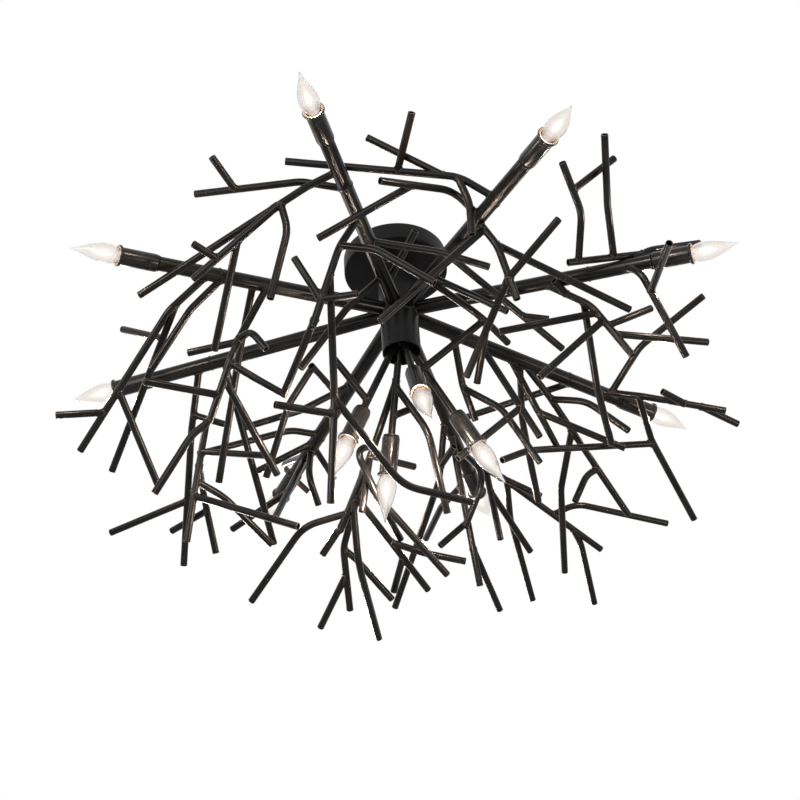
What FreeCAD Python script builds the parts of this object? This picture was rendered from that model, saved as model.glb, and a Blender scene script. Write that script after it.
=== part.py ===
import FreeCAD, Part
import Sketcher
import math
import os

# Branch chandelier, close to the ceiling: a canopy and a short hub pipe, eight arms level
# with each other round the hub, four rods out of the hub's mouth, a candle bulb in a
# sleeve on the end of each arm and rod, and thin branch tubes welded all over them.
# Millimetres. Origin: centre of the canopy's rim on the ceiling. +Z up, the room below.

doc = FreeCAD.newDocument("branch_chandelier")
sheet = doc.addObject("Spreadsheet::Sheet", "Sizes")

SIZES = {
    # canopy and what hangs it
    "canopy_radius": 70.0,
    "canopy_depth": 26.0,
    "canopy_wall": 1.2,
    "nipple_radius": 5.0,
    "nipple_bore": 3.5,
    "strap_length": 106.0,
    "strap_width": 20.0,
    "strap_thick": 2.5,
    "slot_spacing": 89.0,
    "slot_length": 12.0,
    "slot_width": 4.8,
    "hexagon": 6,
    "nut_radius": 9.2,
    "nut_thick": 4.0,
    "ground_screw_radius": 2.4,
    "ground_head_radius": 4.6,
    "ground_head_thick": 2.5,
    "ground_screw_offset": 24.0,
    "fit_gap": 0.05,
    # hub pipe, and the hexagonal boss inside its mouth
    "hub_radius": 25.4,
    "hub_wall": 2.0,
    "hub_length": 144.0,
    "hub_top_thick": 4.0,
    "boss_radius": 18.0,
    "boss_thick": 12.0,
    "boss_recess": 14.0,
    # arms: how far under the canopy their lines meet, and from there to a lamp's mouth
    "arm_radius": 9.525,
    "arm_below_canopy": 71.0,
    "arm_reach": 399.0,
    # rods of the lower lamps: from the boss to each lamp's mouth
    "rod_radius": 4.76,
    "rod_circle": 8.5,
    "rod_1_reach": 137.0,
    "rod_2_reach": 177.0,
    "rod_3_reach": 172.0,
    "rod_4_reach": 175.0,
    # branches, and the unit that their schedule is written in
    "branch_radius": 4.76,
    "branch_sides": 8,
    "branch_unit": 1.0,
    "root_hollow": 7.0,
    # socket sleeve and core
    "lamp_sides": 12,
    "sleeve_radius": 11.5,
    "sleeve_wall": 1.0,
    "sleeve_length": 55.0,
    "bead_radius": 14.0,
    "bead_length": 4.0,
    "core_radius": 10.2,
    "core_length": 38.0,
    "core_bore_depth": 22.0,
    # flame bulb
    "thread_gap": 0.4,
    "seat_gap": 2.0,
    "base_radius": 6.0,
    "base_length": 20.0,
    "glass_neck": 6.0,
    "glass_radius": 12.7,
    "glass_belly": 30.0,
    "glass_taper_radius": 8.0,
    "glass_taper": 54.0,
    "glass_tip_radius": 1.6,
    "glass_length": 76.0,
}

# Each arm is welded on by eye: its bearing round the hub and its droop below level.
ARMS = ((-102, 3), (-61, 7), (-17, 6), (30, 7), (76, 4), (119, 5), (170, 6), (210, 7))

# Rods of the lower lamps: bearing and droop.
RODS = ((-70, 69), (17, 62), (111, 64), (188, 67))

# The underside of the boss, which the rods start on, and the foot of the hub pipe.
HUB_FOOT = "canopy_depth + hub_length"
BOSS_FOOT = "canopy_depth + hub_length - boss_recess"

# Branches: name, what it is welded to, how far along that (percent of its line), then its
# corners and free end from its own root, as (out, side, up) of the arm or rod that bears it.
# No two are alike: each was read off the piece and rounded to 5 branch units.
BRANCHES = (
    # on arm_1
    ("a1", "arm_1", 74, ((10, -55, 20), (5, -195, 45))),
    ("a1a", "a1", 73, ((45, -15, 20),)),
    ("a2", "arm_1", 84, ((-10, -45, -5), (-75, -285, -60))),
    ("a2a", "a2", 29, ((-10, -115, -80),)),
    ("a2a1", "a2a", 72, ((30, -20, 5),)),
    ("a2a2", "a2a", 48, ((-100, -65, -80),)),
    ("a2b", "a2", 28, ((-10, 5, -35), (-25, -25, -125))),
    ("a3", "arm_1", 58, ((10, -25, -50), (-10, -70, -150))),
    ("a3a", "a3", 32, ((0, 45, -20), (-15, 110, -80))),
    ("a3b", "a3", 78, ((25, -25, 55),)),
    ("a3c", "a3", 77, ((0, 45, -5),)),
    ("a3d", "a3", 93, ((-75, -65, -45),)),
    ("a3e", "a3", 57, ((-85, -25, -125), (-135, -50, -240))),
    ("a3e1", "a3e", 61, ((50, -60, -5),)),
    ("a3e2", "a3e", 54, ((-75, 60, -95), (-105, 140, -120))),
    ("a4", "arm_1", 44, ((-15, 85, -30), (-30, 145, -60))),
    ("a5", "arm_1", 18, ((55, 55, 30),)),
    ("a7", "arm_1", 23, ((10, -50, -50), (10, -115, -130))),
    # on arm_2
    ("b1", "arm_2", 78, ((-10, -45, 25), (-100, -240, 45))),
    ("b1a", "b1", 20, ((0, 15, -35), (-5, 20, -80))),
    ("b1b", "b1", 27, ((-30, -90, 50),)),
    ("b1c", "b1", 48, ((70, -15, 35),)),
    ("b2", "arm_2", 66, ((15, -45, 15), (25, -150, -15))),
    ("b2a", "b2", 70, ((-100, -80, -40),)),
    ("b3", "arm_2", 64, ((5, 25, -35), (5, 50, -110))),
    ("b3a", "b3", 13, ((-70, -110, -130),)),
    ("b3b", "b3", 74, ((90, 20, 35),)),
    ("b3c", "b3", 34, ((-5, 195, -35),)),
    ("b3d", "b3", 73, ((-115, 0, -80),)),
    ("b4", "arm_2", 41, ((-40, 190, -65),)),
    ("b4a", "b4", 65, ((15, 30, -5),)),
    ("b5", "arm_2", 26, ((60, 80, -70),)),
    ("b7", "arm_2", 24, ((10, 75, -45), (-20, 130, -50))),
    ("b8", "b7", 63, ((-55, -75, -75),)),
    ("b9", "b7", 67, ((-60, 15, -55),)),
    # on arm_3
    ("c3", "arm_3", 89, ((25, -10, -20), (65, 55, -120))),
    ("c3a", "c3", 40, ((50, -115, -30),)),
    ("c4", "arm_3", 58, ((60, 15, -40), (105, 45, -110))),
    ("c4a", "c4", 23, ((-10, -25, 5),)),
    ("c4b", "c4", 39, ((-10, 95, -65), (-10, 165, -110))),
    ("c4c", "c4", 54, ((-120, -35, -30),)),
    ("c4d", "c4", 62, ((-80, -20, -90),)),
    ("c4e", "c4", 77, ((105, 75, 20),)),
    ("c5", "c4", 68, ((50, 35, 45),)),
    ("c6", "arm_3", 93, ((15, 10, 30), (80, 50, 60))),
    ("c8", "c6", 24, ((-85, -55, -40),)),
    ("c1", "c8", 86, ((20, -55, 30), (15, -125, 55))),
    ("c1a", "c1", 71, ((50, 20, 60),)),
    ("c2", "c8", 39, ((10, -65, 30), (30, -150, 70))),
    # on arm_4
    ("d1", "arm_4", 90, ((45, -40, -20), (140, -100, -50))),
    ("d1a", "d1", 69, ((-40, -5, 0),)),
    ("d1b", "d1", 81, ((60, 0, -5),)),
    ("d1c", "d1", 33, ((45, 40, -30), (155, 105, -80))),
    ("d1d", "d1c", 36, ((-170, 50, -50), (-210, 50, -85))),
    ("d2", "d1", 11, ((0, -75, 25), (35, -180, 50))),
    ("d3", "arm_4", 79, ((-90, 145, 5),)),
    ("d6", "arm_4", 55, ((55, 20, -25), (160, 70, -70), (230, 100, -105))),
    ("d4", "d6", 25, ((35, -35, -15), (85, -60, -65))),
    ("d6a", "d6", 70, ((-15, 5, -15), (-25, 20, -55))),
    ("d6b", "d6", 45, ((30, 80, -35), (95, 180, -90))),
    ("d7", "arm_4", 24, ((40, 45, -40), (75, 70, -70))),
    ("d7a", "d7", 62, ((45, -25, -35), (105, -25, -105))),
    ("d8", "arm_4", 49, ((55, 25, -45), (105, 50, -80))),
    ("d8a", "d8", 62, ((115, -35, -40),)),
    ("d9", "arm_4", 36, ((85, -15, -140),)),
    ("d10", "d9", 69, ((-70, 40, -90),)),
    ("d11", "arm_4", 54, ((50, 80, -25), (120, 155, -90))),
    # on arm_5
    ("e1", "arm_5", 74, ((40, 0, -75), (110, 0, -195))),
    ("e1a", "e1", 59, ((-10, 40, -40),)),
    ("e1b", "e1", 76, ((100, -10, -40),)),
    ("e1c", "e1", 36, ((40, 40, 5), (115, 85, 15))),
    ("e2", "arm_5", 65, ((65, 30, -55), (195, 140, -160))),
    ("e2a", "e2", 24, ((-35, -30, 0),)),
    ("e3", "arm_5", 85, ((-30, -45, -85), (10, 0, -135))),
    ("e6", "arm_5", 90, ((55, -50, -15), (205, -155, -60))),
    ("e4", "e6", 16, ((35, -5, -105),)),
    ("e5", "e4", 32, ((105, -30, -40),)),
    ("e6a", "e6", 30, ((50, 10, -30), (160, 10, -100))),
    ("e6b", "e6", 64, ((5, -35, 15), (90, -155, 10))),
    ("e6c", "e6", 79, ((25, -5, -10), (115, 0, -55))),
    ("e7", "e6", 25, ((15, -55, -40),)),
    # on arm_6
    ("f1", "arm_6", 43, ((45, 60, -30), (85, 130, -50))),
    ("f2", "arm_6", 75, ((0, 45, -5), (40, 170, -55))),
    ("f3", "arm_6", 79, ((60, 70, -30),)),
    ("f4", "arm_6", 84, ((-5, 10, -60), (20, -15, -85))),
    ("f5", "arm_6", 82, ((40, -50, -15),)),
    ("f6", "arm_6", 88, ((100, -5, 65), (115, -55, 40))),
    ("f7", "arm_6", 90, ((-35, 70, -160),)),
    ("f8", "f7", 58, ((95, 45, -5),)),
    ("f9", "f1", 16, ((-50, 60, -15),)),
    ("f10", "f9", 95, ((50, 15, -30), (135, 15, -90))),
    # on rod_3 and rod_4
    ("r1", "rod_3", 36, ((85, 10, 45), (195, 35, 80))),
    ("r1a", "r1", 88, ((20, 50, 30), (115, 90, 115))),
    ("r1b", "r1", 59, ((95, 0, 70), (170, -30, 115))),
    ("r1b1", "r1b", 57, ((10, -20, 5), (55, -80, 20))),
    ("r1b2", "r1b", 75, ((65, 10, 70),)),
    ("r1c", "r1", 94, ((40, 15, 35),)),
    ("r1d", "r1", 79, ((80, -20, 15), (160, -90, 125))),
    ("r1e", "r1", 76, ((100, -135, 70),)),
    ("r1e1", "r1e", 49, ((10, -45, -10), (15, -100, -20))),
    ("r1e2", "r1e", 65, ((40, -5, 45),)),
    ("r1f", "r1", 51, ((75, 5, -5),)),
    ("r1g", "r1", 43, ((15, 30, -20), (70, -10, -5))),
    ("r2", "rod_3", 78, ((-15, -25, 5),)),
    ("r3", "r1", 50, ((0, -70, 25),)),
    ("r4", "r1g", 86, ((50, -65, 70),)),
    ("r5", "r1g", 98, ((85, -115, 30),)),
    ("q1", "rod_3", 44, ((60, -40, -30), (160, -80, -15))),
    ("s1", "rod_4", 86, ((-35, 15, 60),)),
    # on arm_7
    ("g1", "arm_7", 81, ((35, -60, -55), (100, -200, -165))),
    ("g1a", "g1", 67, ((120, -30, 5),)),
    ("g1b", "g1", 24, ((-45, -5, -30),)),
    ("g2", "g1b", 39, ((30, -30, -70), (60, -60, -145))),
    ("g2a", "g2", 51, ((-25, -40, -5), (-70, -100, -60))),
    ("g3", "g2", 38, ((15, -70, 5), (20, -125, -55))),
    ("g3a", "g3", 61, ((60, -30, 5),)),
    ("g4", "arm_7", 71, ((5, -100, -70), (10, -220, -155))),
    ("g5", "g2", 63, ((-135, 15, -105),)),
    ("g6", "g2", 27, ((-95, 35, -65),)),
    # on arm_8
    ("h1", "arm_8", 80, ((35, -55, -25), (95, -235, -130))),
    ("h1a", "h1", 20, ((5, -235, -100),)),
    ("h1a1", "h1a", 20, ((25, -65, 60),)),
    ("h1b", "h1", 67, ((-80, -80, -85),)),
    ("h1c", "h1", 79, ((60, -15, -5),)),
    ("h2", "arm_8", 74, ((30, -45, -25), (60, -115, -75))),
    ("h3", "arm_8", 56, ((50, -15, -95), (65, -85, -170))),
    ("h3a", "h3", 83, ((95, -10, 10),)),
    ("h3b", "h3", 47, ((-5, 25, -5), (-20, 30, -35))),
    ("h3c", "h3", 49, ((45, -50, 10),)),
    ("h3e", "h3", 73, ((-100, -80, -75),)),
    ("h3f", "h3", 63, ((-35, 10, -30), (-65, 15, -50))),
    ("h3g", "h3", 99, ((20, -15, -15), (55, -65, -75))),
    ("h3h", "arm_8", 62, ((-5, -70, -55), (-20, -205, -170))),
)


def fill_sheet():
    """Writes every size as a plain number and names its cell."""
    for row, (name, value) in enumerate(SIZES.items(), start=1):
        sheet.set("A%d" % row, name)
        sheet.set("B%d" % row, str(value))
        sheet.setAlias("B%d" % row, name)
    doc.recompute()


def size(name):
    """The value of one cell, for what has no expression of its own."""
    return float(sheet.get(name))


def bound(words):
    """An expression on the sheet from plain words, such as 'hub_radius - hub_wall'."""
    parts = words.split()
    return " ".join("Sizes." + part if part[0].isalpha() else part for part in parts)


def total(words):
    """The value of plain words that add and subtract sizes, such as BOSS_FOOT."""
    result, sign = 0.0, 1
    for part in words.split():
        if part in "+-":
            sign = 1 if part == "+" else -1
        else:
            result += sign * size(part)
    return result


def turned(label, outline):
    """A body turned about its own Z axis. Each corner is (radius, height), in words or 0."""
    body = doc.addObject("PartDesign::Body", label)
    sketch = body.newObject("Sketcher::SketchObject", label + "_profile")
    plane = next(f for f in body.Origin.OriginFeatures if f.Role == "XZ_Plane")
    sketch.AttachmentSupport = (plane, [""])
    sketch.MapMode = "FlatFace"
    count = len(outline)
    start = [
        FreeCAD.Vector(9 + 8 * math.cos(2 * math.pi * i / count), 9 + 8 * math.sin(2 * math.pi * i / count), 0)
        for i in range(count)
    ]
    for i in range(count):
        sketch.addGeometry(Part.LineSegment(start[i], start[(i + 1) % count]), False)
    for i in range(count):
        sketch.addConstraint(Sketcher.Constraint("Coincident", i, 2, (i + 1) % count, 1))
    for i, (radius, height) in enumerate(outline):
        for kind, words, axis in (("DistanceX", radius, -2), ("DistanceY", height, -1)):
            if words == 0:
                sketch.addConstraint(Sketcher.Constraint("PointOnObject", i, 1, axis))
            else:
                index = sketch.addConstraint(Sketcher.Constraint(kind, -1, 1, i, 1, 10.0))
                sketch.setExpression("Constraints[%d]" % index, bound(words))
    turn = body.newObject("PartDesign::Revolution", label + "_turn")
    turn.Profile = sketch
    turn.ReferenceAxis = (sketch, ["V_Axis"])
    turn.Angle = 360.0
    sketch.Visibility = False
    return body


def round_bar(label, radius, length, place):
    """A round bar, its radius and length given in words."""
    bar = doc.addObject("Part::Cylinder", label)
    bar.setExpression("Radius", bound(radius))
    bar.setExpression("Height", bound(length))
    bar.Placement = place
    return bar


def flat_bar(label, sides, radius, length, place):
    """A bar with flats: its number of sides, the radius of its corners and its length."""
    bar = doc.addObject("Part::Prism", label)
    bar.setExpression("Polygon", bound(sides))
    bar.setExpression("Circumradius", bound(radius))
    bar.setExpression("Height", bound(length))
    bar.Placement = place
    return bar


def cut(label, base, tool):
    """The base with the tool taken out of it."""
    result = doc.addObject("Part::Cut", label)
    result.Base = base
    result.Tool = tool
    return result


def joined(label, pieces):
    """One solid from pieces that meet."""
    result = doc.addObject("Part::MultiFuse", label)
    result.Shapes = pieces
    return result


def group(label, pieces):
    """Separate solids that share one file."""
    result = doc.addObject("Part::Compound", label)
    result.Links = pieces
    return result


def at_height(z):
    """A place on the vertical axis."""
    return FreeCAD.Placement(FreeCAD.Vector(0, 0, z), FreeCAD.Rotation())


def along(start, direction):
    """A place whose own Z axis runs along the direction."""
    return FreeCAD.Placement(start, FreeCAD.Rotation(FreeCAD.Vector(0, 0, 1), direction))


def heading(bearing, droop):
    """The direction of a bearing round the hub that falls by the droop, in degrees."""
    turn, fall = math.radians(bearing), math.radians(droop)
    flat = math.cos(fall)
    return FreeCAD.Vector(flat * math.cos(turn), flat * math.sin(turn), -math.sin(fall))


class Run:
    """The line of an arm or rod: where it starts, where it goes and where its lamp is."""

    def __init__(self, name, start, bearing, droop, bare, radius):
        self.name = name
        self.start = start
        self.out = heading(bearing, droop)
        self.side = heading(bearing + 90, 0)
        self.up = self.out.cross(self.side)
        self.bare = bare
        self.radius = radius
        self.path = [start, start + self.out * bare]

    def offset(self, out, side, up):
        return self.out * out + self.side * side + self.up * up


def arm_runs():
    """The arms start on the hub's axis, level with each other."""
    start = FreeCAD.Vector(0, 0, -total("canopy_depth + arm_below_canopy"))
    bare = size("arm_reach") - size("sleeve_length")
    return [
        Run("arm_%d" % number, start, bearing, droop, bare, size("arm_radius"))
        for number, (bearing, droop) in enumerate(ARMS, start=1)
    ]


def rod_runs():
    """The rods start on a small circle on the underside of the boss in the hub's mouth."""
    runs = []
    for number, (bearing, droop) in enumerate(RODS, start=1):
        start = heading(bearing, 0) * size("rod_circle")
        start.z = -total(BOSS_FOOT)
        bare = size("rod_%d_reach" % number) - size("sleeve_length")
        runs.append(Run("rod_%d" % number, start, bearing, droop, bare, size("rod_radius")))
    return runs


# ---------------------------------------------------------------- canopy and hub


def make_canopy():
    """A spun dish, open to the ceiling, with a hole for the nipple in its face."""
    canopy = turned(
        "canopy",
        [
            ("nipple_radius + fit_gap", 0),
            ("canopy_radius", 0),
            ("canopy_radius", "canopy_depth"),
            ("canopy_radius - canopy_wall", "canopy_depth"),
            ("canopy_radius - canopy_wall", "canopy_wall"),
            ("nipple_radius + fit_gap", "canopy_wall"),
        ],
    )
    canopy.Placement = at_height(-size("canopy_depth"))
    return canopy


def make_strap():
    """The crossbar on the ceiling box: a slot near each end, a hole for the nipple."""
    plate = doc.addObject("Part::Box", "strap_plate")
    plate.setExpression("Length", bound("strap_length"))
    plate.setExpression("Width", bound("strap_width"))
    plate.setExpression("Height", bound("strap_thick"))
    corner = FreeCAD.Vector(-size("strap_length") / 2, -size("strap_width") / 2, -size("strap_thick"))
    plate.Placement = FreeCAD.Placement(corner, FreeCAD.Rotation())
    below = at_height(-size("strap_thick"))
    tools = [round_bar("strap_hole", "nipple_radius + fit_gap", "strap_thick", below)]
    ground = FreeCAD.Vector(size("ground_screw_offset"), 0, -size("strap_thick"))
    place = FreeCAD.Placement(ground, FreeCAD.Rotation())
    tools.append(round_bar("strap_ground_hole", "ground_screw_radius + fit_gap", "strap_thick", place))
    straight = (size("slot_length") - size("slot_width")) / 2
    for side in (-1, 1):
        middle = side * size("slot_spacing") / 2
        slot = doc.addObject("Part::Box", "strap_slot")
        slot.setExpression("Length", bound("slot_length - slot_width"))
        slot.setExpression("Width", bound("slot_width"))
        slot.setExpression("Height", bound("strap_thick"))
        corner = FreeCAD.Vector(middle - straight, -size("slot_width") / 2, -size("strap_thick"))
        slot.Placement = FreeCAD.Placement(corner, FreeCAD.Rotation())
        tools.append(slot)
        for end in (-1, 1):
            centre = FreeCAD.Vector(middle + end * straight, 0, -size("strap_thick"))
            place = FreeCAD.Placement(centre, FreeCAD.Rotation())
            tools.append(round_bar("strap_slot_end", "slot_width / 2", "strap_thick", place))
    return cut("mounting_strap", plate, joined("strap_holes", tools))


def make_nipple():
    """The threaded tube from the strap down to the boss: it carries all, wires run in it."""
    length = BOSS_FOOT + " - boss_thick"
    place = at_height(-total(length))
    outer = round_bar("nipple_outer", "nipple_radius", length, place)
    bore = round_bar("nipple_inner", "nipple_bore", length, place)
    return cut("nipple", outer, bore)


def make_nuts():
    """Hexagon nuts on the nipple: one under the strap, one on the canopy's inside."""
    nuts = []
    thick = size("nut_thick")
    heights = (-size("strap_thick") - thick, -size("canopy_depth") + size("canopy_wall"))
    for number, z in enumerate(heights, start=1):
        blank = flat_bar("nut_%d_blank" % number, "hexagon", "nut_radius", "nut_thick", at_height(z))
        hole = round_bar("nut_%d_hole" % number, "nipple_radius + fit_gap", "nut_thick", at_height(z))
        nuts.append(cut("nut_%d" % number, blank, hole))
    return group("lock_nuts", nuts)


def make_ground_screw():
    """The earth screw with its hexagonal head, driven up into the strap."""
    strap = -size("strap_thick")
    head_at = FreeCAD.Vector(size("ground_screw_offset"), 0, strap - size("ground_head_thick"))
    shank_at = FreeCAD.Vector(size("ground_screw_offset"), 0, strap)
    place = FreeCAD.Placement(head_at, FreeCAD.Rotation())
    head = flat_bar("ground_head", "hexagon", "ground_head_radius", "ground_head_thick", place)
    place = FreeCAD.Placement(shank_at, FreeCAD.Rotation())
    shank = round_bar("ground_shank", "ground_screw_radius", "strap_thick", place)
    return joined("ground_screw", [head, shank])


def make_hub():
    """The hub pipe under the canopy: open below, closed on top but for the nipple."""
    hub = turned(
        "hub_pipe",
        [
            ("nipple_radius + fit_gap", "hub_length"),
            ("hub_radius", "hub_length"),
            ("hub_radius", 0),
            ("hub_radius - hub_wall", 0),
            ("hub_radius - hub_wall", "hub_length - hub_top_thick"),
            ("nipple_radius + fit_gap", "hub_length - hub_top_thick"),
        ],
    )
    hub.Placement = at_height(-total(HUB_FOOT))
    return hub


def make_boss():
    """The piece of hexagonal bar on the nipple's end that the four rods are welded to."""
    return flat_bar("rod_boss", "hexagon", "boss_radius", "boss_thick", at_height(-total(BOSS_FOOT)))


# ---------------------------------------------------------------- arms, rods and lamps


def make_arms(runs):
    """Each arm's inner end is coped to the hub pipe. Its bore is sealed, so it is left out."""
    foot = at_height(-total(HUB_FOOT))
    hub_round = round_bar("hub_round", "hub_radius", "hub_length", foot)
    arms = []
    for run in runs:
        place = along(run.start, run.out)
        bar = round_bar(run.name + "_bar", "arm_radius", "arm_reach - sleeve_length", place)
        arms.append(cut(run.name, bar, hub_round))
    return arms


def make_rods(runs, boss):
    """Each rod starts inside the boss's height and is cut flush with its underside."""
    rods = []
    for run in runs:
        lead = size("boss_thick") / 2
        stem = doc.addObject("Part::Prism", run.name + "_bar")
        stem.setExpression("Polygon", bound("branch_sides"))
        stem.setExpression("Circumradius", bound("rod_radius"))
        stem.Height = run.bare + lead
        stem.Placement = along(run.start - run.out * lead, run.out)
        rods.append(cut(run.name, stem, boss))
    return rods


def faceted(rings):
    """A solid from rings of corners, flat across both ends and between neighbours."""
    faces = [Part.Face(Part.makePolygon(r + [r[0]])) for r in (rings[0], rings[-1])]
    for near, far in zip(rings, rings[1:]):
        for i in range(len(near)):
            j = (i + 1) % len(near)
            faces.append(Part.Face(Part.makePolygon([near[i], near[j], far[j], far[i], near[i]])))
    return Part.makeSolid(Part.makeShell(faces))


def make_glass(label, place):
    """The flame-shaped glass: neck, belly, taper and tip, with flats round it."""
    outline = (
        (size("glass_neck"), 0),
        (size("glass_radius"), size("glass_belly")),
        (size("glass_taper_radius"), size("glass_taper")),
        (size("glass_tip_radius"), size("glass_length")),
    )
    sides = int(size("lamp_sides"))
    turns = [2 * math.pi * i / sides for i in range(sides)]
    rings = [
        [FreeCAD.Vector(radius * math.cos(t), radius * math.sin(t), height) for t in turns]
        for radius, height in outline
    ]
    glass = doc.addObject("Part::Feature", label)
    glass.Shape = faceted(rings)
    glass.Placement = place
    return glass


def make_lamp(run, number):
    """The sleeve, core, bulb base and glass on the end of one arm or rod."""

    def ahead(distance):
        return along(run.start + run.out * (run.bare + distance), run.out)

    name = "lamp_%d_" % number
    sides = "lamp_sides"
    barrel_length = size("sleeve_length") - size("bead_length")
    core_at = size("sleeve_wall")
    bore_at = core_at + size("core_length") - size("core_bore_depth")
    base_at = bore_at + size("seat_gap")
    words = "sleeve_length - bead_length"
    barrel = flat_bar(name + "barrel", sides, "sleeve_radius", words, ahead(0))
    bead = flat_bar(name + "bead", sides, "bead_radius", "bead_length", ahead(barrel_length))
    words = "sleeve_radius - sleeve_wall"
    inside = flat_bar(name + "inside", sides, words, "sleeve_length - sleeve_wall", ahead(core_at))
    sleeve = cut(name + "sleeve", joined(name + "outside", [barrel, bead]), inside)
    body = flat_bar(name + "body", sides, "core_radius", "core_length", ahead(core_at))
    bore = flat_bar(name + "bore", sides, "base_radius + thread_gap", "core_bore_depth", ahead(bore_at))
    core = cut(name + "core", body, bore)
    base = flat_bar("bulb_%d_base" % number, sides, "base_radius", "base_length", ahead(base_at))
    glass = make_glass("bulb_%d_glass" % number, ahead(base_at + size("base_length")))
    return sleeve, core, base, glass


# ---------------------------------------------------------------- branches


def slid(points, direction, centre, normal):
    """A ring of points slid along a direction until they meet a plane."""
    return [p + direction * ((centre - p).dot(normal) / direction.dot(normal)) for p in points]


def spot(path, percent):
    """The point the given percent of the way along a path, and the direction there."""
    left = sum((b - a).Length for a, b in zip(path, path[1:])) * percent / 100.0
    for a, b in zip(path, path[1:]):
        run = (b - a).Length
        if left <= run or b is path[-1]:
            return a + (b - a) * (left / run), (b - a).normalize()
        left -= run


def cope(beside, out, grain, radius):
    """How far out a point beside a branch's centre line leaves the bar it is welded to."""
    across = out - grain * out.dot(grain)
    beside = beside - grain * beside.dot(grain)
    a, b, c = across.dot(across), beside.dot(across), beside.dot(beside) - radius**2
    return (math.sqrt(max(b * b - a * c, 0.0)) - b) / a


def branch(path, radius, sides, grain, bearer):
    """A bar along straight runs: coped to its bearer, mitred at bends, sawn square.

    Its root is hollowed to a point, so that it bears on its rim, as a tube's wall does.
    """
    runs = [(b - a).normalize() for a, b in zip(path, path[1:])]
    across = runs[0].cross(grain).normalize()
    over = runs[0].cross(across)
    turns = [2 * math.pi * i / sides for i in range(sides)]
    corners = [across * (radius * math.cos(t)) + over * (radius * math.sin(t)) for t in turns]
    root = [path[0] + c + runs[0] * cope(c, runs[0], grain, bearer) for c in corners]
    heart = path[0] + runs[0] * (cope(FreeCAD.Vector(), runs[0], grain, bearer) + size("root_hollow"))
    rings = [root]
    for i in range(1, len(path) - 1):
        normal = (runs[i - 1] + runs[i]).normalize()
        rings.append(slid(rings[-1], runs[i - 1], path[i], normal))
    rings.append(slid(rings[-1], runs[-1], path[-1], runs[-1]))
    faces = [Part.Face(Part.makePolygon(rings[-1] + [rings[-1][0]]))]
    for i in range(sides):
        j = (i + 1) % sides
        faces.append(Part.Face(Part.makePolygon([root[i], root[j], heart, root[i]])))
        for near, far in zip(rings, rings[1:]):
            faces.append(Part.Face(Part.makePolygon([near[i], near[j], far[j], far[i], near[i]])))
    return Part.makeSolid(Part.makeShell(faces))


def make_branches(runs, rods):
    """Every branch, grouped by the arm or rod that bears it, and cut to a rod's flats."""
    radius, sides, unit = size("branch_radius"), int(size("branch_sides")), size("branch_unit")
    flat_share = math.cos(math.pi / sides)
    paths = {run.name: run.path for run in runs}
    owners = {run.name: run for run in runs}
    flats = {run.name: run.radius for run in runs}
    bars = {rod.Label: rod.Shape for rod in rods}
    for name in bars:
        flats[name] *= flat_share
    groups = {}
    for name, parent, percent, points in BRANCHES:
        run = owners[parent]
        root, grain = spot(paths[parent], percent)
        path = [root] + [root + run.offset(*point) * unit for point in points]
        owners[name], paths[name], flats[name] = run, path, radius * flat_share
        piece = branch(path, radius, sides, grain, flats[parent])
        if parent in bars:
            piece = piece.cut(bars[parent]).Solids[0]
        groups.setdefault(run.name, []).append(piece)
    nodes = []
    for run_name, pieces in groups.items():
        node = doc.addObject("Part::Feature", run_name + "_branches")
        node.Shape = Part.makeCompound(pieces)
        nodes.append(node)
    return nodes


# ---------------------------------------------------------------- build and write


def main():
    fill_sheet()
    arms = arm_runs()
    rods = rod_runs()
    boss = make_boss()
    nodes = [make_canopy(), make_strap(), make_nipple(), make_nuts(), make_ground_screw()]
    rod_nodes = make_rods(rods, boss)
    nodes += [make_hub(), boss] + make_arms(arms) + rod_nodes
    lamps = [make_lamp(run, number) for number, run in enumerate(arms + rods, start=1)]
    split = len(arms)
    for kind, column in (("sleeves", 0), ("cores", 1)):
        nodes.append(group("arm_" + kind, [lamp[column] for lamp in lamps[:split]]))
        nodes.append(group("rod_" + kind, [lamp[column] for lamp in lamps[split:]]))
    nodes += [piece for lamp in lamps for piece in lamp[2:]]
    doc.recompute()
    nodes += make_branches(arms + rods, rod_nodes)
    doc.recompute()
    for thing in doc.Objects:
        if "Invalid" in thing.State or "Error" in thing.State:
            raise RuntimeError("%s did not build: %s" % (thing.Label, thing.State))
    os.makedirs("parts", exist_ok=True)
    for node in nodes:
        if node.Shape.isNull() or not node.Shape.isValid():
            raise RuntimeError("%s has no valid shape" % node.Label)
        node.Shape.exportStep("parts/%s.step" % node.Label)
    lowest = min(node.Shape.BoundBox.ZMin for node in nodes)
    print("%d nodes, lowest point %.0f mm under the ceiling" % (len(nodes), -lowest))


main()
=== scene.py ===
# %% [markdown]
# # Branch chandelier, close to the ceiling
#
# The real thing is dark powder-coated steel. A canopy sits on the ceiling, a short pipe
# hangs from it, eight arms leave the pipe and four thin rods come out of its mouth. Each
# ends in a slim sleeve with a flame bulb. Thin tubes, bent and cut open at the end, are
# welded all over the arms like twigs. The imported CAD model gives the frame, in metres.

# %% Load the frame
import math
import random

import bpy
from mathutils import Matrix, Vector


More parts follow.
